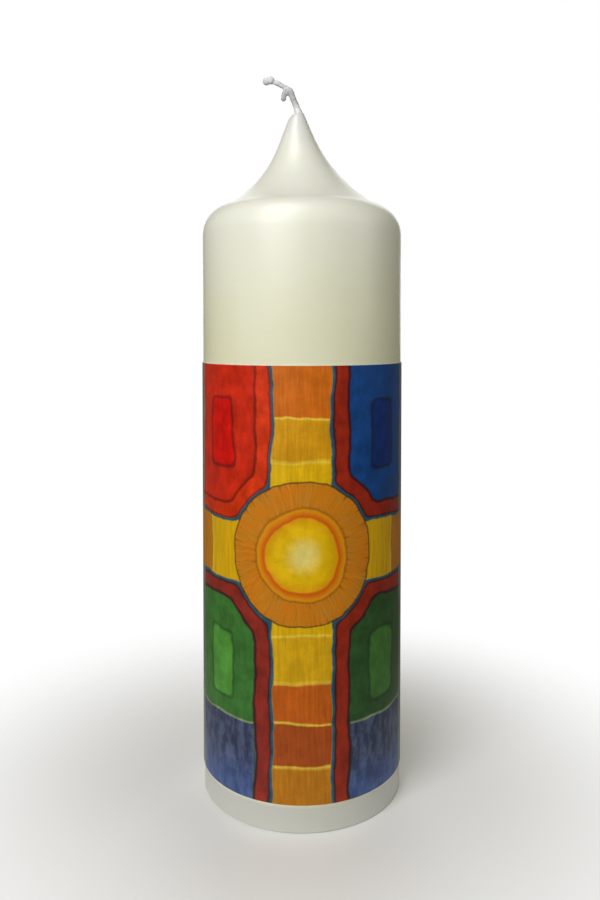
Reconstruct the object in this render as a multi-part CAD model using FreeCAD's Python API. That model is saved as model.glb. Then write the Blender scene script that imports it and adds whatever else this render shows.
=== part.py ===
import FreeCAD, Part
import math
import os

# Unity candle: a tall ivory pillar candle with a printed motif film wrapped round its front.
# A pressed wax core holds the wick, a dipped coat of ivory wax covers it and runs up into a
# flared tip, and the waxed end of the wick stands out of that tip and curls over.
#
# Millimetres. +Z is up, the origin is the centre of the flat base, and the motif faces -Y.
# Each function below makes one physical piece as one closed solid.

# Pillar
CANDLE_RADIUS = 35.0  # outside of the dipped coat
COAT_THICKNESS = 2.0
BASE_EDGE_ROUND = 0.8

# Head of the coat: a shoulder arc, a soft crease, a flare arc and a straight neck up to the tip
SHOULDER_START = 194.9  # height where the straight side ends
SHOULDER_RADIUS = 10.7
SHOULDER_TURN = 74.7  # degrees turned inwards from the vertical
CREASE_TURN = 14.0  # degrees turned back at once, where the flare starts
FLARE_RADIUS = 48.0
FLARE_TURN = 38.0  # degrees turned back over the flare
NECK_END_RADIUS = 3.3  # half-width of the wax where the tip's cap starts
TIP_CAP_HEIGHT = 1.8
TIP_CAP_RADIUS = 1.3
TIP_LEAN = -1.8  # sideways drift of the tip, along X
FLARE_SECTIONS = 12
NECK_SECTIONS = 3

# Core
CORE_CONE_SLOPE = 24.0  # degrees, the pressed core's shallow conical head

# Wick, from its foot inside the base to its free end. The points are where its runs meet.
WICK_RADIUS = 0.8
WICK_FOOT = 9.0
WICK_ROUTE = [
    (0.0, 0.0, WICK_FOOT),
    (0.0, 0.0, 212.0),
    (-1.6, 0.0, 236.5),
    (-2.4, -0.15, 240.8),
    (-4.5, -0.4, 246.4),
    (-8.2, -0.7, 248.35),
    (-12.5, -0.9, 249.5),
]
WICK_ARC_SHARE = 0.45  # of the shorter run, taken up by each bend

# Wax on the bare end of the wick
PRIMING_THICKNESS = 0.25
BEAD_RADIUS = 1.5
BEAD_SPACING = 1.6  # between the bead's two lobes
DRIP_TOP = (-6.0, -0.6, 246.9)
DRIP_FOOT = (-6.65, -0.6, 243.3)
DRIP_RADIUS = 0.9

# Wick sustainer and the plug that closes the core under it
SUSTAINER_RADIUS = 7.0
SUSTAINER_THICKNESS = 0.4
SUSTAINER_NECK_RADIUS = 1.2
SUSTAINER_NECK_HEIGHT = 5.0
PLUG_RADIUS = 7.5

# Motif film: a pale wax backing and a printed layer on it
FILM_BOTTOM = 9.3
FILM_TOP = 150.7
FILM_HALF_WRAP = 118.0  # degrees each side of the front
BACKING_THICKNESS = 0.22
PRINT_THICKNESS = 0.14
PRINT_MARGIN = 0.3  # backing left showing at every cut edge

UP = FreeCAD.Vector(0, 0, 1)


def turn(degrees):
    """Unit direction in the XZ half-plane, measured from +X towards +Z."""
    return FreeCAD.Vector(math.cos(math.radians(degrees)), 0, math.sin(math.radians(degrees)))


def shoulder_end(radius, arc_radius, angle):
    """Where a shoulder arc that starts on the vertical side ends, after turning by angle."""
    return FreeCAD.Vector(radius - arc_radius, 0, SHOULDER_START) + turn(angle) * arc_radius


def revolved(edges):
    """Closed solid from edges that run from the axis at the base to the axis at the top."""
    top = edges[-1].Vertexes[-1].Point
    bottom = edges[0].Vertexes[0].Point
    outline = Part.Wire(edges + [Part.makeLine(top, bottom)])
    return Part.Face(outline).revolve(FreeCAD.Vector(), UP, 360)


def side_edges(radius, arc_radius, angle):
    """Flat base, straight side and shoulder arc of a pillar, as edges in the XZ half-plane."""
    start = FreeCAD.Vector(radius, 0, SHOULDER_START)
    centre = FreeCAD.Vector(radius - arc_radius, 0, SHOULDER_START)
    middle = centre + turn(angle / 2) * arc_radius
    end = shoulder_end(radius, arc_radius, angle)
    foot = FreeCAD.Vector(radius, 0, 0)
    return [
        Part.makeLine(FreeCAD.Vector(), foot),
        Part.makeLine(foot, start),
        Part.Arc(start, middle, end).toShape(),
    ]


def flare_outline():
    """Radius and height of the flare, from the end of the shoulder up to the cap of the tip."""
    foot = shoulder_end(CANDLE_RADIUS, SHOULDER_RADIUS, SHOULDER_TURN)
    heading = 90 + SHOULDER_TURN - CREASE_TURN
    centre = foot - turn(heading + 90) * FLARE_RADIUS
    outline = [(foot.x, foot.z)]
    for step in range(1, FLARE_SECTIONS + 1):
        on_arc = centre + turn(heading + 90 - FLARE_TURN * step / FLARE_SECTIONS) * FLARE_RADIUS
        outline.append((on_arc.x, on_arc.z))
    rise = math.tan(math.radians(heading - FLARE_TURN))
    for step in range(1, NECK_SECTIONS + 1):
        radius = on_arc.x + (NECK_END_RADIUS - on_arc.x) * step / NECK_SECTIONS
        outline.append((radius, on_arc.z + (radius - on_arc.x) * rise))
    return outline


def lean(height, foot, top):
    """Sideways drift of the flare at a height: none at its foot, all of it at its top."""
    share = (height - foot) / (top - foot)
    return TIP_LEAN * share * share * (3 - 2 * share)


def coat_body():
    """Outside of the dipped coat as one filled solid: pillar, shoulder, flare and tip."""
    pillar_edges = side_edges(CANDLE_RADIUS, SHOULDER_RADIUS, SHOULDER_TURN)
    outline = flare_outline()
    foot = outline[0][1]
    neck_radius, neck_height = outline[-1]
    pillar_edges.append(
        Part.makeLine(pillar_edges[-1].Vertexes[-1].Point, FreeCAD.Vector(0, 0, foot))
    )
    pillar = revolved(pillar_edges)
    base_edge = [e for e in pillar.Edges if abs(e.BoundBox.ZMax) < 1e-6 and len(e.Vertexes) == 1]
    pillar = pillar.makeFillet(BASE_EDGE_ROUND, base_edge)
    rings = []
    for radius, height in outline:
        centre = FreeCAD.Vector(lean(height, foot, neck_height), 0, height)
        rings.append(Part.Wire(Part.makeCircle(radius, centre, UP)))
    flare = Part.makeLoft(rings, True, False)
    cap_foot = FreeCAD.Vector(TIP_LEAN, 0, neck_height)
    cap = Part.makeCone(neck_radius, TIP_CAP_RADIUS, TIP_CAP_HEIGHT, cap_foot, UP)
    return pillar.fuse([flare, cap]).removeSplitter()


def core_body():
    """Outside of the pressed core as one filled solid: pillar with a shallow conical head."""
    radius = CANDLE_RADIUS - COAT_THICKNESS
    edges = side_edges(radius, SHOULDER_RADIUS - COAT_THICKNESS, 90 - CORE_CONE_SLOPE)
    rim = edges[-1].Vertexes[-1].Point
    peak = FreeCAD.Vector(0, 0, rim.z + rim.x * math.tan(math.radians(CORE_CONE_SLOPE)))
    edges.append(Part.makeLine(rim, peak))
    return revolved(edges)


def rounded_path(route):
    """Straight runs joined by tangent arcs, as one wire."""
    edges = []
    start = route[0]
    for before, corner, after in zip(route, route[1:], route[2:]):
        inward = (before - corner).normalize()
        outward = (after - corner).normalize()
        half_turn = (math.pi - inward.getAngle(outward)) / 2
        cut = WICK_ARC_SHARE * min(before.distanceToPoint(corner), after.distanceToPoint(corner))
        radius = cut / math.tan(half_turn)
        to_centre = (inward + outward).normalize()
        centre = corner + to_centre * (radius / math.cos(half_turn))
        first = corner + inward * cut
        middle = centre - to_centre * radius
        last = corner + outward * cut
        edges.append(Part.makeLine(start, first))
        edges.append(Part.Arc(first, middle, last).toShape())
        print("wick bend radius %.1f mm" % radius)
        start = last
    edges.append(Part.makeLine(start, route[-1]))
    return Part.Wire(edges)


def tube_along(path, radius):
    """Round solid of one radius along a path."""
    start = path.OrderedVertexes[0].Point
    heading = path.OrderedVertexes[1].Point - start
    profile = Part.Wire(Part.makeCircle(radius, start, heading))
    return path.makePipeShell([profile], True, False)


def wick_path():
    """Centre line of the whole wick."""
    return rounded_path([FreeCAD.Vector(*point) for point in WICK_ROUTE])


def bead_lobes():
    """The drop of wax that ends the wick, as two overlapping lobes."""
    end = FreeCAD.Vector(*WICK_ROUTE[-1])
    along = (end - FreeCAD.Vector(*WICK_ROUTE[-2])).normalize()
    near = Part.makeSphere(BEAD_RADIUS, end - along * BEAD_SPACING)
    far = Part.makeSphere(BEAD_RADIUS, end)
    return near.fuse(far)


def drip():
    """A short run of wax that hangs from the wick's curl."""
    top = FreeCAD.Vector(*DRIP_TOP)
    foot = FreeCAD.Vector(*DRIP_FOOT)
    body = Part.makeCylinder(DRIP_RADIUS, top.distanceToPoint(foot), top, foot - top)
    return body.fuse(Part.makeSphere(DRIP_RADIUS, foot))


def sustainer(wick):
    """Pressed steel disc with a neck crimped round the foot of the wick."""
    foot = FreeCAD.Vector(0, 0, WICK_FOOT)
    disc = Part.makeCylinder(SUSTAINER_RADIUS, SUSTAINER_THICKNESS, foot, UP)
    neck = Part.makeCylinder(SUSTAINER_NECK_RADIUS, SUSTAINER_NECK_HEIGHT, foot, UP)
    return disc.fuse(neck).removeSplitter().cut(wick)


def plug():
    """Wax plug that closes the hollow under the sustainer, planed flush with the base."""
    return Part.makeCylinder(PLUG_RADIUS, WICK_FOOT)


def film_layer(inner_radius, thickness, margin):
    """One layer of the film: a thin sheet wrapped round the front of the pillar."""
    foot = FreeCAD.Vector(0, 0, FILM_BOTTOM + margin)
    height = FILM_TOP - FILM_BOTTOM - 2 * margin
    wrap = 2 * (FILM_HALF_WRAP - math.degrees(margin / inner_radius))
    outer = Part.makeCylinder(inner_radius + thickness, height, foot, UP, wrap)
    inner = Part.makeCylinder(inner_radius, height, foot, UP, 360)
    layer = outer.cut(inner)
    layer.rotate(FreeCAD.Vector(), UP, 270 - wrap / 2)
    return layer


def pieces():
    """Every piece of the candle, by the name of its node."""
    path = wick_path()
    wick = tube_along(path, WICK_RADIUS)
    expected = math.pi * WICK_RADIUS**2 * path.Length
    print("wick length %.1f mm, volume %.1f of %.1f mm3" % (path.Length, wick.Volume, expected))
    metal = sustainer(wick)
    base_plug = plug()
    core_outside = core_body()
    coat_outside = coat_body()
    hollow = Part.makeCylinder(PLUG_RADIUS, WICK_FOOT + SUSTAINER_THICKNESS)
    neck = Part.makeCylinder(SUSTAINER_NECK_RADIUS, WICK_FOOT + SUSTAINER_NECK_HEIGHT)
    core = core_outside.cut([wick, hollow, neck])
    coat = coat_outside.cut([core_outside, wick])
    primed = tube_along(path, WICK_RADIUS + PRIMING_THICKNESS)
    priming = primed.cut([wick, coat_outside])
    bead = bead_lobes().cut([primed, wick])
    side_drip = drip().cut([primed, wick, bead])
    backing = film_layer(CANDLE_RADIUS, BACKING_THICKNESS, 0.0)
    printed = film_layer(CANDLE_RADIUS + BACKING_THICKNESS, PRINT_THICKNESS, PRINT_MARGIN)
    return {
        "wax_core": core,
        "overdip_coat": coat,
        "wick": wick,
        "wick_priming": priming,
        "wick_end_bead": bead,
        "wick_side_drip": side_drip,
        "wick_sustainer": metal,
        "base_plug": base_plug,
        "film_backing": backing,
        "motif_film": printed,
    }


os.makedirs("parts", exist_ok=True)
for node, shape in pieces().items():
    print("%-16s solids %d valid %s volume %.2f mm3" % (
        node, len(shape.Solids), shape.isValid(), shape.Volume))
    shape.exportStep("parts/" + node + ".step")
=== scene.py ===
import math

import bpy
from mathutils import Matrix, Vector


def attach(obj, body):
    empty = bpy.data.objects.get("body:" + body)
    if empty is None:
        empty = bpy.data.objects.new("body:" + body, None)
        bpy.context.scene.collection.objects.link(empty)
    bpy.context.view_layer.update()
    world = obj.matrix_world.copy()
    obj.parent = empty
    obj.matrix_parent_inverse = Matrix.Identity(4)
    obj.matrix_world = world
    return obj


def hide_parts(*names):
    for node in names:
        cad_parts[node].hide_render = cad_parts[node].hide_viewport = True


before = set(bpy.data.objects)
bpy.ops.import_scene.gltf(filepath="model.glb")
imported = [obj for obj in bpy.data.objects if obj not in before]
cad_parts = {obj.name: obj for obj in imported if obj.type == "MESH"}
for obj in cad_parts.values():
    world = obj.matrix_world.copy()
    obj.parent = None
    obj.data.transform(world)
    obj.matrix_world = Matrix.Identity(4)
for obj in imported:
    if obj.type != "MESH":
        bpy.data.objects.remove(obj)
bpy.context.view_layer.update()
MM = 0.001

# Camera. It stands in front of the candle, a little over half its height up, and looks slightly
# down. The frame is shifted instead of tilted further, so that the candle's sides stay upright.
VIEW_DISTANCE = 291.2 * MM
VIEW_HEIGHT = 160.7 * MM
VIEW_PITCH = math.radians(1.89)
bpy.ops.object.camera_add(
    location=(0, -VIEW_DISTANCE, VIEW_HEIGHT), rotation=(math.pi / 2 - VIEW_PITCH, 0, 0)
)
camera = bpy.context.object
camera.name = "front_camera"
camera.data.lens = 32.6
camera.data.shift_x = -0.0022
camera.data.shift_y = -0.1
bpy.context.scene.camera = camera
bpy.context.scene.view_settings.view_transform = "Standard"


# Floor and light. A pale table top fades out into a pale surround. A large soft lamp stands in
# front to the left and another behind, three small ones near the candle model the wax, and the
# surround fills the shadows.
class Wire:
    """One output of a shader node. Sums with numbers and other wires add Math nodes."""

    def __init__(self, tree, socket=None):
        self.tree = tree
        self.socket = socket

    def node(self, kind, settings=None, inputs=None, output=0):
        """A new node: its settings first, then its sockets as values or wires."""
        made = self.tree.nodes.new(kind)
        for name, value in (settings or {}).items():
            if name == "stops":
                set_stops(made.color_ramp, value)
            else:
                setattr(made, name, value)
        for key, value in (inputs or {}).items():
            if isinstance(value, Wire):
                self.tree.links.new(value.socket, made.inputs[key])
            else:
                made.inputs[key].default_value = value
        return Wire(self.tree, None if output is None else made.outputs[output])

    def other(self, output):
        """Another output of the same node."""
        return Wire(self.tree, self.socket.node.outputs[output])

    def math(self, operation, *terms):
        inputs = dict(enumerate((self,) + terms))
        return self.node("ShaderNodeMath", {"operation": operation}, inputs)

    def __add__(self, other):
        return self.math("ADD", other)

    def __radd__(self, other):
        return self.math("ADD", other)

    def __sub__(self, other):
        return self.math("SUBTRACT", other)

    def __mul__(self, other):
        return self.math("MULTIPLY", other)

    def __truediv__(self, other):
        return self.math("DIVIDE", other)

    def __abs__(self):
        return self.math("ABSOLUTE")

    def ramp(self, low, high, start=0.0, end=1.0):
        """Goes smoothly from start to end while this goes from low to high."""
        return self.node(
            "ShaderNodeMapRange",
            {"interpolation_type": "SMOOTHSTEP"},
            {0: self, 1: low, 2: high, 3: start, 4: end},
        )


def set_stops(color_ramp, stops):
    """Stops of a ramp as (place, colour), in rising order."""
    while len(color_ramp.elements) < len(stops):
        color_ramp.elements.new(1.0)
    for element, (place, colour) in zip(color_ramp.elements, stops):
        element.position = place
        element.color = colour


def paint(code):
    """Linear colour of a six-digit paint code."""
    shares = [int(code[at:at + 2], 16) / 255 for at in (0, 2, 4)]
    return tuple(s / 12.92 if s < 0.04045 else ((s + 0.055) / 1.055) ** 2.4 for s in shares) + (1,)


def mixed(factor, under, over):
    """Colour over laid on colour under, by factor."""
    wire = factor if isinstance(factor, Wire) else under
    return wire.node(
        "ShaderNodeMix", {"data_type": "RGBA"}, {0: factor, 6: under, 7: over}, output=2
    )


def new_finish(name, roughness, **constants):
    """A material with its Principled shader, and a bare wire to build its pattern from."""
    material = bpy.data.materials.new(name)
    material.use_nodes = True
    shader = material.node_tree.nodes["Principled BSDF"]
    shader.inputs["Roughness"].default_value = roughness
    for socket, value in constants.items():
        shader.inputs[socket.replace("_", " ")].default_value = value
    return material, shader, Wire(material.node_tree)


def feed(shader, socket, wire):
    """Links a varying value or colour to one of the shader's sockets."""
    wire.tree.links.new(wire.socket, shader.inputs[socket])


def object_place(bare):
    """Object coordinates in millimetres."""
    place = bare.node("ShaderNodeTexCoord", output="Object")
    return place.node("ShaderNodeVectorMath", {"operation": "SCALE"}, {0: place, 3: 1 / MM})


def noise(place, scale, detail=2.0, rough=0.5, output=0):
    """Soft noise over a place, of so many patches to the millimetre."""
    return place.node(
        "ShaderNodeTexNoise",
        inputs={"Vector": place, "Scale": scale, "Detail": detail, "Roughness": rough},
        output=output,
    )


def stretched(place, x, y, z):
    """A place scaled by its own amount along each axis."""
    return place.node("ShaderNodeVectorMath", {"operation": "MULTIPLY"}, {0: place, 1: (x, y, z)})


def relief(height, strength, distance):
    """A surface normal from a height."""
    return height.node(
        "ShaderNodeBump",
        inputs={"Height": height, "Strength": strength, "Distance": distance},
    )


def add_area_lamp(name, place, aim, size, watts, colour):
    """A soft square lamp at a place, turned to a point."""
    bpy.ops.object.light_add(type="AREA", location=place)
    lamp = bpy.context.object
    lamp.name = name
    lamp.data.size = size
    lamp.data.energy = watts
    lamp.data.color = colour
    lamp.rotation_euler = (Vector(aim) - Vector(place)).to_track_quat("-Z", "Y").to_euler()
    lamp.visible_camera = False


FLOOR_RADIUS = 0.4
FADE_START = 0.036
FADE_END = 0.17
bpy.ops.object.select_all(action="DESELECT")
bpy.ops.mesh.primitive_circle_add(vertices=96, radius=FLOOR_RADIUS, fill_type="NGON")
floor = bpy.context.object
floor.name = "table_top"
table_finish, table_shader, bare = new_finish("pale_table", 0.7)
place = bare.node("ShaderNodeTexCoord", output="Object")
reach = place.node("ShaderNodeVectorMath", {"operation": "LENGTH"}, {0: place}, output="Value")
table_shader.inputs["Base Color"].default_value = (0.95, 0.95, 0.95, 1)
feed(table_shader, "Alpha", reach.ramp(FADE_START, FADE_END, 1.0, 0.0))
floor.data.materials.append(table_finish)

MIDDLE = (0, 0, 0.15)
add_area_lamp("key_lamp", (-0.95, -1.35, 0.95), MIDDLE, 1.0, 11.0, (1.0, 1.0, 1.0))
add_area_lamp("near_lamp", (-0.11, -0.28, 0.32), (0, 0, 0.18), 0.24, 0.62, (1.0, 1.0, 1.0))
add_area_lamp("side_lamp", (0.27, -0.1, 0.26), (0, 0, 0.19), 0.16, 0.12, (1.0, 1.0, 0.96))
add_area_lamp("sheen_lamp", (-0.1, -0.16, 0.52), (0, 0, 0.2), 0.2, 0.8, (1.0, 1.0, 1.0))
bpy.data.objects["sheen_lamp"].visible_diffuse = False
add_area_lamp("back_lamp", (0.1, 1.3, 0.6), MIDDLE, 1.0, 5.0, (1.0, 1.0, 1.0))

surround = bpy.data.worlds.new("pale_surround")
bpy.context.scene.world = surround
surround.use_nodes = True
surround_tree = surround.node_tree
surround_tree.nodes.clear()
bare = Wire(surround_tree)
seen = bare.node("ShaderNodeLightPath", output="Is Camera Ray")
fill_light = bare.node("ShaderNodeBackground", inputs={0: (1, 0.95, 0.75, 1), 1: 0.17})
backdrop = bare.node("ShaderNodeBackground", inputs={0: (1, 1, 1, 1), 1: 1.0})
both = bare.node("ShaderNodeMixShader", inputs={0: seen, 1: fill_light, 2: backdrop})
bare.node("ShaderNodeOutputWorld", inputs={"Surface": both}, output=None)


# Pressed core. Wax granules pressed to a solid cylinder round the bore for the wick. Only its
# planed foot shows, from below, with the swirl that the planing plate leaves.
CORE_IVORY = paint("E6E2CE")
CORE_DULL = paint("D3CDB2")


def planed_wax(name, light, dark):
    """Matt pressed wax with fine grains and the faint scraped swirl of a planed face."""
    material, shader, bare = new_finish(
        name, 0.6, Subsurface_Weight=0.15, Subsurface_Scale=0.001, IOR=1.44
    )
    place = object_place(bare)
    grain = noise(place, 1.3, 4.0, 0.6)
    swirl = place.node(
        "ShaderNodeTexWave",
        {"wave_type": "RINGS", "rings_direction": "Z"},
        {"Vector": place, "Scale": 0.6, "Distortion": 3.0, "Detail": 3.0, "Detail Scale": 0.4},
        output="Fac",
    )
    feed(shader, "Base Color", mixed(grain.ramp(0.35, 0.7), light, dark))
    feed(shader, "Roughness", grain.ramp(0.3, 0.7, 0.5, 0.7))
    feed(shader, "Normal", relief(grain * 0.7 + swirl * 0.3, 0.35, 0.00025))
    return material


def dress(node, material):
    """Gives a CAD node's own object a better material."""
    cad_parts[node].data.materials.clear()
    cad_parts[node].data.materials.append(material)


dress("wax_core", planed_wax("pressed_wax", CORE_IVORY, CORE_DULL))


# Base plug. A disc of wax poured into the hollow under the wick's foot, and planed flush.
# It is a little whiter than the pressed core round it.
dress("base_plug", planed_wax("poured_plug_wax", paint("ECE9DA"), paint("DAD5BF")))


# Wick sustainer. A disc and neck pressed from thin tin-plated steel, crimped round the wick's
# foot. It sits sealed between the core and the plug.
sustainer_finish, sustainer_shader, bare = new_finish("tin_plate", 0.35, Metallic=1.0)
brushing = noise(stretched(object_place(bare), 1.0, 9.0, 1.0), 1.5, 3.0)
feed(
    sustainer_shader,
    "Base Color",
    mixed(brushing.ramp(0.3, 0.7), paint("B9B9B4"), paint("D2D2CE")),
)
feed(sustainer_shader, "Roughness", brushing.ramp(0.3, 0.7, 0.28, 0.45))
feed(sustainer_shader, "Normal", relief(brushing, 0.2, 0.0001))
dress("wick_sustainer", sustainer_finish)


# Dipped coat. The core is lowered into molten ivory wax again and again, and each dip leaves a
# thin skin. The last wax to run off sets as the rounded shoulder and the flare up to the wick.
COAT_RADIUS = 35.0
CORE_RADIUS = 33.0
SHOULDER_START = 194.9
SHOULDER_RADIUS = 10.7
SHOULDER_TURN = 74.7
CREASE_TURN = 14.0
FLARE_RADIUS = 48.0
FLARE_TURN = 38.0
NECK_END_RADIUS = 3.2
TIP_LEAN = -1.6
FLARE_FOOT = 205.2
NECK_END = 236.0
COAT_SEGMENTS = 192
BORE_RADIUS = 0.85
CORE_CONE_SLOPE = 24.0
CORE_SHOULDER_RADIUS = 8.7


def dip_ripple(height):
    """How far the dipped side lies inside its full radius: slow waves from many dips."""
    waves = math.sin(height / 5.3) + 0.6 * math.sin(height / 2.1 + 1.7) + math.sin(height / 17.0)
    return 0.018 * (2.6 + waves)


def coat_profile():
    """Outside of the coat as (radius, height), from the base's rounded edge to the neck's end."""
    edge = 0.8
    outline = []
    for step in range(7):
        turn = math.radians(15 * step)
        outline.append((COAT_RADIUS - edge * (1 - math.sin(turn)), edge * (1 - math.cos(turn))))
    height = 3.0
    while height < SHOULDER_START - 1:
        outline.append((COAT_RADIUS - dip_ripple(height), height))
        height += 2.9
    for step in range(17):
        turn = math.radians(SHOULDER_TURN * step / 16)
        radius = COAT_RADIUS - SHOULDER_RADIUS * (1 - math.cos(turn))
        outline.append((radius, SHOULDER_START + SHOULDER_RADIUS * math.sin(turn)))
    foot = outline[-1]
    heading = 90 + SHOULDER_TURN - CREASE_TURN
    left = math.radians(heading + 90)
    centre = (foot[0] - FLARE_RADIUS * math.cos(left), foot[1] - FLARE_RADIUS * math.sin(left))
    for step in range(1, 25):
        turn = left - math.radians(FLARE_TURN * step / 24)
        outline.append(
            (centre[0] + FLARE_RADIUS * math.cos(turn), centre[1] + FLARE_RADIUS * math.sin(turn))
        )
    radius, height = outline[-1]
    rise = math.tan(math.radians(heading - FLARE_TURN))
    for step in range(1, 7):
        on_neck = radius + (NECK_END_RADIUS - radius) * step / 6
        outline.append((on_neck, height + (on_neck - radius) * rise))
    return outline


def lean(height):
    """Sideways drift of the flare: none at its foot, all of it at the neck's end."""
    share = min(max((height - FLARE_FOOT) / (NECK_END - FLARE_FOOT), 0), 1)
    return TIP_LEAN * share * share * (3 - 2 * share)


def select_facing(piece, test):
    """In edit mode, leaves selected only the faces that pass a test."""
    bpy.ops.mesh.select_all(action="DESELECT")
    bpy.ops.object.mode_set(mode="OBJECT")
    for face in piece.data.polygons:
        face.select = test(face)
    bpy.ops.object.mode_set(mode="EDIT")
    bpy.ops.mesh.select_mode(type="FACE")


def draw_up(rings, start):
    """Extrudes the selected face from ring to ring. A ring is (radius, height, x, tilt)."""
    radius, height, x, tilt = start
    for next_radius, next_height, next_x, next_tilt in rings:
        move = ((next_x - x) * MM, 0, (next_height - height) * MM)
        bpy.ops.mesh.extrude_region_move(TRANSFORM_OT_translate={"value": move})
        size = next_radius / radius
        middle = (next_x * MM, 0, next_height * MM)
        bpy.ops.transform.resize(value=(size, size, size), center_override=middle)
        if next_tilt != tilt:
            bpy.ops.transform.rotate(
                value=math.radians(next_tilt - tilt), orient_axis="Y", center_override=middle
            )
        radius, height, x, tilt = next_radius, next_height, next_x, next_tilt


outline = coat_profile()
bpy.ops.object.select_all(action="DESELECT")
bpy.ops.mesh.primitive_circle_add(
    vertices=COAT_SEGMENTS, radius=outline[0][0] * MM, fill_type="NGON"
)
coat = bpy.context.object
coat.name = "dipped_coat"
bpy.ops.object.mode_set(mode="EDIT")
rings = [(radius, height, lean(height), 0) for radius, height in outline]
draw_up(rings[1:], rings[0])
TIP_RINGS = [
    (2.8, 236.75, -1.52, 0),
    (2.5, 237.35, -1.42, 0),
    (2.25, 237.72, -1.36, 1),
    (1.9, 237.84, -1.14, 5),
    (1.62, 238.2, -1.15, 12),
    (1.45, 238.8, -1.3, 14),
    (1.3, 239.5, -1.52, 14),
    (1.0, 240.5, -1.88, 16),
]
draw_up(TIP_RINGS, rings[-1])
core_rim = (
    CORE_RADIUS - CORE_SHOULDER_RADIUS * (1 - math.cos(math.radians(90 - CORE_CONE_SLOPE))),
    SHOULDER_START + CORE_SHOULDER_RADIUS * math.sin(math.radians(90 - CORE_CONE_SLOPE)),
)
core_peak = core_rim[1] + core_rim[0] * math.tan(math.radians(CORE_CONE_SLOPE))
select_facing(coat, lambda face: face.normal.z < -0.9 and face.center.z < 1e-6)
bpy.ops.mesh.inset(thickness=(outline[0][0] - CORE_RADIUS) * MM)
inner_rings = [(CORE_RADIUS, SHOULDER_START, 0, 0)]
for step in range(1, 8):
    turn = math.radians((90 - CORE_CONE_SLOPE) * step / 7)
    radius = CORE_RADIUS - CORE_SHOULDER_RADIUS * (1 - math.cos(turn))
    inner_rings.append((radius, SHOULDER_START + CORE_SHOULDER_RADIUS * math.sin(turn), 0, 0))
inner_rings += [(BORE_RADIUS, core_peak - 0.4, -0.1, 0), (BORE_RADIUS, 226.0, -0.75, 0)]
inner_rings += [(BORE_RADIUS, 236.0, -1.25, 0), (BORE_RADIUS, 240.3, -1.85, 16)]
draw_up(inner_rings, (CORE_RADIUS, 0, 0, 0))
select_facing(coat, lambda face: len(face.vertices) > 8)
bpy.ops.mesh.delete(type="ONLY_FACE")
bpy.ops.mesh.select_all(action="DESELECT")
bpy.ops.mesh.select_mode(type="EDGE")
bpy.ops.mesh.select_non_manifold()
bpy.ops.mesh.bridge_edge_loops()
bpy.ops.mesh.select_all(action="SELECT")
bpy.ops.mesh.normals_make_consistent(inside=False)
bpy.ops.object.mode_set(mode="OBJECT")
bpy.ops.object.shade_smooth_by_angle(angle=math.radians(38))

coat_finish, coat_shader, bare = new_finish(
    "dipped_ivory_wax",
    0.33,
    Subsurface_Weight=0.25,
    Subsurface_Scale=0.0009,
    Subsurface_Radius=(1.0, 0.8, 0.5),
    IOR=1.44,
    Coat_Weight=0.12,
    Coat_Roughness=0.25,
)
place = object_place(bare)
cloud = noise(stretched(place, 1, 1, 0.5), 0.035, 3.0, 0.55)
bloom = noise(place, 0.5, 4.0, 0.6)
height = bare.node("ShaderNodeSeparateXYZ", inputs={0: place}, output="Z")
ivory = mixed(cloud.ramp(0.3, 0.7), paint("EBEBD0"), paint("E5E4C2"))
ivory = mixed(bloom.ramp(0.5, 0.8, 0.0, 0.25), ivory, paint("F0F0E2"))
# Painted light: the wax turns whiter towards the shoulder and flare, where the light from above
# falls brightest.
ivory = mixed(height.ramp(150.0, 206.0, 0.0, 0.85), ivory, paint("EEEFE6"))
ivory = mixed(height.ramp(222.0, 240.0, 0.0, 0.85), ivory, paint("DFE0E2"))
# Painted shade: the band of wax below the film's lower edge is greyer, standing in for the dimmer
# light near the floor.
ivory = mixed(height.ramp(8.0, 9.4, 0.9, 0.0), ivory, paint("CACBC6"))
feed(coat_shader, "Base Color", ivory)
feed(coat_shader, "Roughness", cloud.ramp(0.3, 0.7, 0.28, 0.38))
drag = noise(stretched(place, 0.25, 0.25, 1.0), 0.45, 3.0, 0.5)
feed(coat_shader, "Normal", relief(drag * 0.8 + bloom * 0.2, 0.18, 0.0004))
coat.data.materials.append(coat_finish)
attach(coat, "root")
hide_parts("overdip_coat")


# Wick. A round braid of bleached cotton threads runs from the sustainer up through the whole
# candle, and curls over at its free end, where it was cut from the dipping frame.
FREE_END = [
    (-1.25, 0, 236.8, 1.1),
    (-1.5, 0, 239.4, 1.12),
    (-2.0, -0.1, 240.9, 1.16),
    (-2.75, -0.15, 242.6, 1.06),
    (-3.4, -0.2, 244.2, 1.1),
    (-4.1, -0.3, 246.0, 1.15),
    (-4.6, -0.35, 246.5, 1.0),
    (-6.0, -0.5, 247.4, 0.85),
    (-7.3, -0.6, 247.95, 0.8),
    (-8.5, -0.7, 248.65, 0.95),
    (-9.6, -0.75, 249.0, 0.75),
    (-11.6, -0.85, 249.6, 0.6),
]
COTTON_RADIUS = 0.8
WICK_FOOT = 9.0
WICK_STRAIGHT_END = 212.0
WAX_SKIN = 0.15


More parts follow.
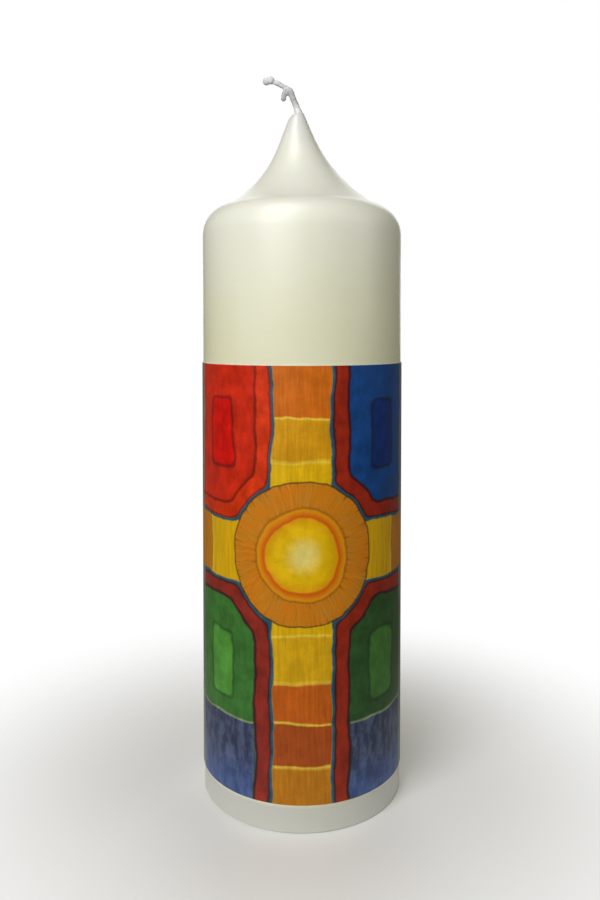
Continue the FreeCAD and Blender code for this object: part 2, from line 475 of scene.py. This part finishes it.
def tube_on(name, points):
    """A round tube along the smooth line of a route, given as (x, y, z, radius)."""
    bpy.ops.object.select_all(action="DESELECT")
    bpy.ops.curve.primitive_nurbs_path_add(radius=1)
    tube = bpy.context.object
    tube.name = name
    tube.data.splines.clear()
    line = tube.data.splines.new("NURBS")
    line.points.add(len(points) - 1)
    for point, (x, y, z, radius) in zip(line.points, points):
        point.co = (x * MM, y * MM, z * MM, 1)
        point.radius = radius
    line.order_u = 3
    line.use_endpoint_u = True
    line.resolution_u = 24
    tube.data.bevel_depth = MM
    tube.data.bevel_resolution = 6
    tube.data.use_fill_caps = True
    bpy.ops.object.convert(target="MESH")
    bpy.ops.object.mode_set(mode="EDIT")
    bpy.ops.mesh.select_all(action="SELECT")
    bpy.ops.mesh.remove_doubles(threshold=0.01 * MM)
    bpy.ops.mesh.normals_make_consistent(inside=False)
    bpy.ops.object.mode_set(mode="OBJECT")
    return bpy.context.object


cotton_route = [(0, 0, height, COTTON_RADIUS) for height in (WICK_FOOT, WICK_STRAIGHT_END)]
cotton_route += [(x, y, z, min(waxed - WAX_SKIN, COTTON_RADIUS)) for x, y, z, waxed in FREE_END]
cotton = tube_on("cotton_wick", cotton_route)
cotton_finish, cotton_shader, bare = new_finish("braided_cotton", 0.85)
place = object_place(bare)
plait = place.node(
    "ShaderNodeTexWave",
    {"wave_type": "BANDS", "bands_direction": "DIAGONAL"},
    {"Vector": place, "Scale": 0.9, "Distortion": 1.5, "Detail": 2.0},
    output="Fac",
)
fibres = noise(stretched(place, 6, 6, 1.5), 1.0, 3.0, 0.6)
feed(
    cotton_shader,
    "Base Color",
    mixed(plait * 0.6 + fibres * 0.4, paint("B9B4A6"), paint("E4E1D8")),
)
feed(cotton_shader, "Roughness", fibres.ramp(0.3, 0.7, 0.78, 0.95))
feed(cotton_shader, "Normal", relief(plait * 0.7 + fibres * 0.3, 0.6, 0.0003))
cotton.data.materials.append(cotton_finish)
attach(cotton, "root")
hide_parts("wick")


# Wax on the wick. Priming wax stiffens the bare end of the braid and fills its plait, and the
# dips that followed have left it lumpy. It greys a little where the wick bends.


def settle(piece):
    """Recalculates a closed piece's normals outwards and shades it smooth."""
    bpy.ops.object.select_all(action="DESELECT")
    piece.select_set(True)
    bpy.context.view_layer.objects.active = piece
    bpy.ops.object.mode_set(mode="EDIT")
    bpy.ops.mesh.select_all(action="SELECT")
    bpy.ops.mesh.normals_make_consistent(inside=False)
    bpy.ops.object.mode_set(mode="OBJECT")
    bpy.ops.object.shade_smooth()


def lumps(point, seed):
    """A few slow waves through space, between about -1 and 1, with no pattern to them."""
    x, y, z = (share / MM for share in point)
    return (
        math.sin(1.9 * x + 0.7 * y + 1.3 * z + seed)
        + math.sin(2.9 * z - 1.6 * x + 2.1 * seed)
        + math.sin(2.3 * y + 3.1 * x + 0.7 * seed)
    ) / 3


priming = tube_on("wick_wax_skin", FREE_END)
for vertex in priming.data.vertices:
    push = 0.08 * lumps(vertex.co, 0.4) - 0.02
    vertex.co += vertex.normal * push * MM
settle(priming)

waxed_finish, waxed_shader, bare = new_finish(
    "wick_wax", 0.5, IOR=1.44, Specular_IOR_Level=0.3
)
place = object_place(bare)
ridges = noise(place, 0.35, 1.0, 0.5)
height = bare.node("ShaderNodeSeparateXYZ", inputs={0: place}, output="Z")
greyed = height.ramp(239.8, 242.5) * height.ramp(245.6, 247.2, 1.0, 0.0)
grey = mixed(ridges.ramp(0.35, 0.65), paint("D6D6DB"), paint("E4E4E8"))
feed(waxed_shader, "Base Color", mixed(greyed * 0.85, grey, paint("B2B2B4")))
feed(waxed_shader, "Roughness", ridges.ramp(0.3, 0.7, 0.45, 0.6))
feed(waxed_shader, "Normal", relief(ridges, 0.1, 0.0002))
priming.data.materials.append(waxed_finish)
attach(priming, "root")
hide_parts("wick_priming")


# Drop on the wick's end. Two drops of dipping wax have run together and set over the cut end of
# the braid, in the same wax as the rest of the wick's skin.
def join_drops(name, drops):
    """Melts overlapping drops of wax, given as (x, y, z, radius, length), into one closed skin."""
    bpy.ops.object.select_all(action="DESELECT")
    made = []
    for x, y, z, radius, stretch in drops:
        bpy.ops.mesh.primitive_ico_sphere_add(
            subdivisions=4, radius=radius * MM, location=(x * MM, y * MM, z * MM)
        )
        made.append(bpy.context.object)
        bpy.ops.object.mode_set(mode="EDIT")
        bpy.ops.transform.resize(
            value=(1, 1, stretch), center_override=(x * MM, y * MM, z * MM)
        )
        bpy.ops.object.mode_set(mode="OBJECT")
    for drop in made:
        drop.select_set(True)
    bpy.context.view_layer.objects.active = made[0]
    if len(made) > 1:
        bpy.ops.object.join()
    bpy.ops.object.transform_apply(location=True, rotation=True, scale=True)
    skin = bpy.context.object
    skin.name = name
    remesh = skin.modifiers.new("melt", "REMESH")
    remesh.mode = "VOXEL"
    remesh.voxel_size = 0.12 * MM
    bpy.ops.object.modifier_apply(modifier="melt")
    flow = skin.modifiers.new("flow", "SMOOTH")
    flow.factor = 0.6
    flow.iterations = 5
    bpy.ops.object.modifier_apply(modifier="flow")
    settle(skin)
    return skin


bead = join_drops(
    "wick_end_drop",
    [(-11.0, -0.85, 249.65, 1.34, 1.0), (-12.5, -0.9, 249.3, 1.32, 1.0)],
)
bead.data.materials.append(waxed_finish)
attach(bead, "root")
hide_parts("wick_end_bead")


# Side run. A short run of wax hangs from the underside of the wick's curl, where the last dip
# drained back and set, with a web of wax left between it and the wick.
side_drip = join_drops(
    "wick_side_run",
    [
        (-5.1, -0.5, 245.6, 0.95, 1.2),
        (-5.9, -0.6, 246.4, 0.85, 1.0),
        (-6.1, -0.6, 245.4, 0.9, 1.1),
        (-6.35, -0.6, 244.4, 0.94, 1.1),
        (-6.5, -0.6, 243.4, 0.93, 1.0),
    ],
)
side_drip.data.materials.append(waxed_finish)
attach(side_drip, "root")
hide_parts("wick_side_drip")


# Film backing. A thin flexible sheet of pale wax, cut square and wrapped round the candle's front,
# where the warmth of a hand sticks it down. It carries the print, and shows as a line at its edges.
FILM_BOTTOM = 9.3
FILM_TOP = 150.7
FILM_HALF_WRAP = 118
BACKING_THICKNESS = 0.22
PRINT_THICKNESS = 0.14
PRINT_MARGIN = 0.3
ARC_STEP = 2


def wrapped_sheet(name, inner_radius, thickness, margin):
    """A sheet wrapped round the front, with a flat map of itself for its pattern to be drawn on."""
    radius = (inner_radius + thickness) * MM
    low = (FILM_BOTTOM + margin) * MM
    high = (FILM_TOP - margin) * MM
    bpy.ops.object.select_all(action="DESELECT")
    bpy.ops.mesh.primitive_cylinder_add(
        vertices=360 // ARC_STEP,
        radius=radius,
        depth=high - low,
        location=(0, 0, (low + high) / 2),
        end_fill_type="NOTHING",
    )
    bpy.ops.object.transform_apply(location=True, rotation=True, scale=True)
    sheet = bpy.context.object
    sheet.name = name
    bpy.ops.object.mode_set(mode="EDIT")
    back = -math.cos(math.radians(FILM_HALF_WRAP)) * radius
    select_facing(sheet, lambda face: face.center.y > back)
    bpy.ops.mesh.delete(type="FACE")
    bpy.ops.object.mode_set(mode="OBJECT")
    trim = math.radians(FILM_HALF_WRAP) - margin / inner_radius
    for vertex in sheet.data.vertices:
        turn = math.atan2(vertex.co.x, -vertex.co.y)
        if abs(turn) > trim:
            turn = math.copysign(trim, turn)
            vertex.co.x = radius * math.sin(turn)
            vertex.co.y = -radius * math.cos(turn)
    thicken = sheet.modifiers.new("thickness", "SOLIDIFY")
    thicken.thickness = thickness * MM
    thicken.offset = -1
    bpy.ops.object.modifier_apply(modifier="thickness")
    flat = sheet.data.uv_layers.new(name="OFBake")
    for loop in sheet.data.loops:
        spot = sheet.data.vertices[loop.vertex_index].co
        across = math.atan2(spot.x, -spot.y) / trim * 0.5 + 0.5
        flat.data[loop.index].uv = (across, (spot.z - low) / (high - low))
    bpy.ops.object.shade_smooth_by_angle(angle=math.radians(40))
    return sheet


backing = wrapped_sheet("film_backing_sheet", COAT_RADIUS, BACKING_THICKNESS, 0)
backing_finish, backing_shader, bare = new_finish(
    "pale_film_wax", 0.4, Subsurface_Weight=0.1, Subsurface_Scale=0.0004, IOR=1.44
)
place = object_place(bare)
speckle = noise(place, 0.8, 3.0)
feed(backing_shader, "Base Color", mixed(speckle.ramp(0.3, 0.7), paint("EFEBDC"), paint("E2DCC6")))
feed(backing_shader, "Roughness", speckle.ramp(0.3, 0.7, 0.35, 0.48))
feed(backing_shader, "Normal", relief(speckle, 0.15, 0.0002))
backing.data.materials.append(backing_finish)
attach(backing, "root")
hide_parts("film_backing")


# Printed layer. A plain, regular pattern printed in satin colours on the wax backing: an upright bar
# and two arms in blocks of yellow and ochre, a ring with a sun where they cross, and four corners
# drawn alike, each with a border and a rounded panel.
print_sheet = wrapped_sheet(
    "painted_film", COAT_RADIUS + BACKING_THICKNESS, PRINT_THICKNESS, PRINT_MARGIN
)
print_finish, print_shader, bare = new_finish("painted_film", 0.45, IOR=1.3)


def wavered(flat, scale, reach):
    """A flat place that strays a little from itself, like a hand that follows a line."""
    drift = noise(flat, scale, 2.0, 0.5, output="Color")
    centred = flat.node(
        "ShaderNodeVectorMath", {"operation": "SUBTRACT"}, {0: drift, 1: (0.5, 0.5, 0.5)}
    )
    return flat.node(
        "ShaderNodeVectorMath",
        {"operation": "MULTIPLY_ADD"},
        {0: centred, 1: (reach, reach, 0), 2: flat},
    )


def blocks(along, length, steps, soft=0.35):
    """Blocks of colour along a distance: each step is (start, code), met over a soft edge."""
    stops = [(0.0, paint(steps[0][1]))]
    for (start, code), (_, before) in zip(steps[1:], steps):
        stops.append(((start - soft / 2) / length, paint(before)))
        stops.append(((start + soft / 2) / length, paint(code)))
    return along.node("ShaderNodeValToRGB", {"stops": stops}, {0: along / length})


def frame_distance(u, v, left, right, low, high, corner):
    """How far a place lies outside a rounded frame. It is negative inside."""
    beside = abs(u - (left + right) / 2) - (right - left) / 2
    above = abs(v - (low + high) / 2) - (high - low) / 2
    return beside.math("SMOOTH_MAX", above, corner)


def inside(distance, soft=0.3):
    """1 where a distance is negative and 0 outside, over a soft edge."""
    return distance.ramp(-soft, soft, 1.0, 0.0)


def band(distance, low, high, soft=0.3):
    """1 where a distance lies between two values."""
    return distance.ramp(low - soft, low + soft) * distance.ramp(high - soft, high + soft, 1.0, 0.0)


def brightened(colour, amount):
    """A colour made lighter or darker by a varying amount."""
    return colour.node("ShaderNodeVectorMath", {"operation": "SCALE"}, {0: colour, 3: amount})


place = object_place(bare)
PRINT_RADIUS = 35.3
sideways = bare.node("ShaderNodeSeparateXYZ", inputs={0: place})
backward = sideways.other(1)
height = sideways.other(2)
around = sideways.math("ARCTAN2", backward * -1) * PRINT_RADIUS
flat = bare.node("ShaderNodeCombineXYZ", inputs={0: around, 1: height})
strayed = wavered(wavered(flat, 0.06, 4.0), 0.35, 0.8)
u = bare.node("ShaderNodeSeparateXYZ", inputs={0: strayed})
v = u.other(1)
from_middle = abs(u)

# The cross: an upright bar, two arms and a round ring, with one running distance from all three.
CROSSING = 90
BAR_HALF_WIDTH = 9.5
RING_RADIUS = 23.5
GLOW_RADIUS = 15.0
SUN_RADIUS = 12.0
beside_bar = from_middle - BAR_HALF_WIDTH
above_arm = abs(v - CROSSING) - BAR_HALF_WIDTH
ring_place = bare.node("ShaderNodeCombineXYZ", inputs={0: u, 1: v - CROSSING})
ring_reach = ring_place.node(
    "ShaderNodeVectorMath", {"operation": "LENGTH"}, {0: ring_place}, output="Value"
)
beyond_ring = ring_reach - RING_RADIUS
beyond_cross = beside_bar.math("SMOOTH_MIN", above_arm, 3.0).math("SMOOTH_MIN", beyond_ring, 3.0)
from_cross = beyond_cross.math("MAXIMUM", 0.0)
rightward = u.ramp(-0.2, 0.2)
upward = v.ramp(CROSSING - 0.2, CROSSING + 0.2)

mottle = noise(flat, 0.16, 4.0, 0.6)
upright_strokes = noise(stretched(flat, 1.0, 0.08, 1), 1.0, 3.0, 0.55)
washes = noise(stretched(flat, 0.4, 0.16, 1), 1.0, 4.0, 0.6)


def bordered(border, edge, field):
    """Paint of one corner: a teal line and a banded border along the cross, then a plain field."""
    return blocks(
        from_cross,
        40,
        [(0, "2C5A6C"), (0.9, edge), (1.5, border), (5.6, edge), (6.6, field)],
        0.5,
    )


# Four corners, alike in their drawing and each in its own colour, every one with the same rounded
# panel in it. The lower two stand on a slate-blue foot.
upper_left = bordered("D23408", "8C1C0A", "C8280E")
upper_right = bordered("98240F", "3C141C", "0E4488")
lower_left = bordered("8C2A20", "3E1E20", "3C7430")
lower_right = bordered("942812", "3A1820", "2E5428")
fields = mixed(
    upward, mixed(rightward, lower_left, lower_right), mixed(rightward, upper_left, upper_right)
)
upper_panel = mixed(rightward, paint("CC0E02"), paint("042E74"))
lower_panel = mixed(rightward, paint("52983A"), paint("437832"))
PANEL_RISE = 38
panel_middle = CROSSING + upward * (2 * PANEL_RISE) - PANEL_RISE
panel = frame_distance(from_middle, abs(v - panel_middle), 24.0, 36.0, -11.5, 11.5, 4)
picture = mixed(inside(panel, 0.5), fields, mixed(upward, lower_panel, upper_panel))
picture = mixed(band(panel, -0.6, 0.4, 0.4) * 0.55, picture, paint("14141C"))
foot = v.ramp(34.5, 35.5, 1.0, 0.0) * from_cross.ramp(6.4, 7.0)
slate = mixed(washes.ramp(0.4, 0.6), paint("363C5C"), paint("4A5670"))
slate = mixed(v.ramp(10, 26, 0.6, 0.0), slate, paint("4A64A4"))
picture = mixed(foot, picture, slate)
picture = mixed(band(v, 34.8, 35.5) * from_cross.ramp(6.4, 7.0, 0.0, 0.7), picture, paint("9CA884"))

# Past the corners, plain upright stripes run on to the film's side edges.
STRIPES_START = 44
border = blocks(
    from_middle.math("SUBTRACT", STRIPES_START).math("MAXIMUM", 0.0),
    40,
    [(0, "6C7C74"), (5.0, "9A2A1C"), (12.0, "2C5A78"), (13.5, "1A4A94"), (23, "2A6040")],
)
picture = mixed(from_middle.ramp(STRIPES_START - 0.6, STRIPES_START + 0.4), picture, border)
picture = brightened(picture, mottle.ramp(0.25, 0.75, 0.78, 1.22))
picture = brightened(picture, washes.ramp(0.3, 0.7, 0.88, 1.12))

# Bar and arms, in even brushed blocks parted by thin light lines.
BLOCK_LENGTH = 14
LINE_WIDTH = 0.7
BAR_COLOURS = ["BA7610", "A84C16", "C25E12", "D6A60F"] + ["DEB004"] * 4 + ["D2960D", "CE6A12"]
ARM_COLOURS = ["DAAA08"] * 3 + ["C07A10", "DAAA08", "A85E10"]
BAR_START = 8
ARMS_START = -6
BLOCKS_REACH = 160


def brushed_blocks(along, start, codes):
    """Blocks of one length each, with a light line where two of them meet."""
    steps = [(0, codes[0])]
    for number, code in enumerate(codes[1:], 1):
        seam = start + number * BLOCK_LENGTH
        if code != codes[number - 1]:
            steps += [(seam - LINE_WIDTH, "EBCC44"), (seam, code)]
    return blocks(along, BLOCKS_REACH, steps, 0.4)


bar = brushed_blocks(v, BAR_START, BAR_COLOURS)
bar = brightened(bar, mottle.ramp(0.3, 0.7, 0.9, 1.1))
arms = brushed_blocks(from_middle, ARMS_START, ARM_COLOURS)
cross = mixed(inside(beside_bar), arms, bar)
cross = brightened(cross, upright_strokes.ramp(0.25, 0.75, 0.86, 1.14))
on_cross = inside(beside_bar.math("MINIMUM", above_arm))
picture = mixed(on_cross, picture, cross)

# Ring, drawn with short strokes from its middle outwards.
ray = ring_place.node("ShaderNodeVectorMath", {"operation": "NORMALIZE"}, {0: ring_place})
ray_across = bare.node("ShaderNodeSeparateXYZ", inputs={0: ray})
ray_up = ray_across.other(1)
stroke_place = bare.node(
    "ShaderNodeCombineXYZ", inputs={0: ray_across * 34, 1: ray_up * 34, 2: ring_reach * 0.14}
)
ray_strokes = noise(stroke_place, 1.0, 3.0, 0.65)
near_edge = abs(beyond_ring + 4.3).ramp(1.5, 4.3, 0.25, 0.8)
ring = mixed(mottle.ramp(0.3, 0.7), paint("D47C10"), paint("C4801C"))
ring = mixed(ray_strokes.ramp(0.52, 0.7) * near_edge, ring, paint("7A4A12"))
ring = mixed(ray_strokes.ramp(0.46, 0.3) * 0.25, ring, paint("E8B048"))
picture = mixed(inside(beyond_ring), picture, ring)
picture = mixed(band(beyond_ring, -0.25, 0.3, 0.25) * 0.75, picture, paint("2E2018"))

# Sun in the middle of the ring, paler towards its own middle, with a glow round it.
glow = mixed(ring_reach.ramp(SUN_RADIUS, GLOW_RADIUS), paint("D4580C"), paint("DE9A0A"))
picture = mixed(inside(ring_reach - GLOW_RADIUS), picture, glow)
picture = mixed(band(ring_reach - GLOW_RADIUS, -0.3, 0.5, 0.4) * 0.5, picture, paint("8A4010"))
sun = mixed(ring_reach.ramp(1.0, 7.5, 0.8, 0.0), paint("E6BA04"), paint("EEE084"))
sun = mixed(ring_reach.ramp(8.0, SUN_RADIUS, 0.0, 0.6), sun, paint("DC9206"))
sun = brightened(sun, mottle.ramp(0.3, 0.7, 0.88, 1.1))
picture = mixed(inside(ring_reach - SUN_RADIUS, 0.4), picture, sun)

grain = noise(flat, 1.6, 4.0, 0.65)
picture = brightened(picture, grain.ramp(0.25, 0.75, 0.95, 1.05))
feed(print_shader, "Base Color", picture)
feed(print_shader, "Roughness", mottle.ramp(0.3, 0.7, 0.36, 0.48))
feed(print_shader, "Normal", relief(grain * 0.5 + upright_strokes * 0.5, 0.15, 0.0002))
print_sheet.data.materials.append(print_finish)
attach(print_sheet, "root")
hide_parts("motif_film")
